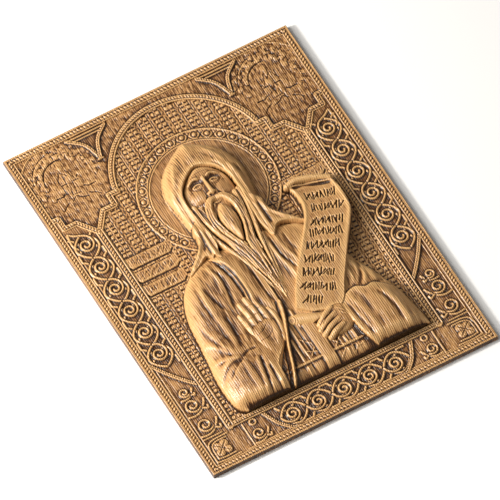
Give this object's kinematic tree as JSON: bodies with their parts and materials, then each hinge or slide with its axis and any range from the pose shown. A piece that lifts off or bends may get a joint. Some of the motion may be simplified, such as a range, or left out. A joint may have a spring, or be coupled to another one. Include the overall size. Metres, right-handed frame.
{
  "type": "carved wooden icon panel",
  "caption": "Flat rectangular wooden panel carved in relief: a hooded, bearded figure with a scroll under an arch, in a border of knotwork.",
  "frame": {"origin": "middle of the flat back, on the surface the panel lies on", "axes": "+X to the right of the picture, +Y to its top, +Z out of the carved face"},
  "size_m": [0.3, 0.39, 0.022],
  "materials": {
    "carved_wood": "semi-gloss oiled light hardwood with darker recesses and lengthwise grain"
  },
  "bodies": {
    "root": {"icon_panel": "carved_wood"}
  },
  "joints": []
}
